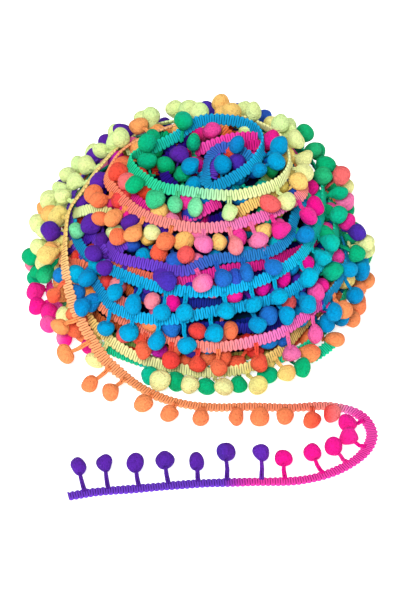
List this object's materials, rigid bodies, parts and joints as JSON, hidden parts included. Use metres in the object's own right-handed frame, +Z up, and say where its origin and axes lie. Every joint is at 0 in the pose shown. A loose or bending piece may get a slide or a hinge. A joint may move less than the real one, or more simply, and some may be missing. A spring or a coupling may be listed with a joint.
{
  "type": "roll of pompom trim",
  "caption": "Roll of rainbow pompom trim: a narrow braid with small pompoms on stems along one edge, wound into a low dome, its loose end laid out in a J.",
  "frame": {"origin": "on the surface the roll rests on, under the middle of its dome", "axes": "+Z up, with the loose end laid out towards -Y, in front of the roll, and +X to the right as seen from that side"},
  "size_m": [0.19, 0.2674, 0.1002],
  "materials": {
    "wound_trim": "soft matt yarn, rainbow dyed along its length",
    "braid": "matt ribbed braid",
    "purple_pompoms": "dense fuzzy yarn",
    "pink_pompoms": "dense fuzzy yarn",
    "coral_pompoms": "dense fuzzy yarn"
  },
  "bodies": {
    "root": {"wound_roll": "wound_trim", "loose_tape": "braid", "loose_pompoms_1": "purple_pompoms", "loose_pompoms_2": "pink_pompoms", "loose_pompoms_3": "pink_pompoms", "loose_pompoms_4": "pink_pompoms", "loose_pompoms_5": "coral_pompoms", "loose_pompoms_6": "coral_pompoms"}
  },
  "joints": []
}
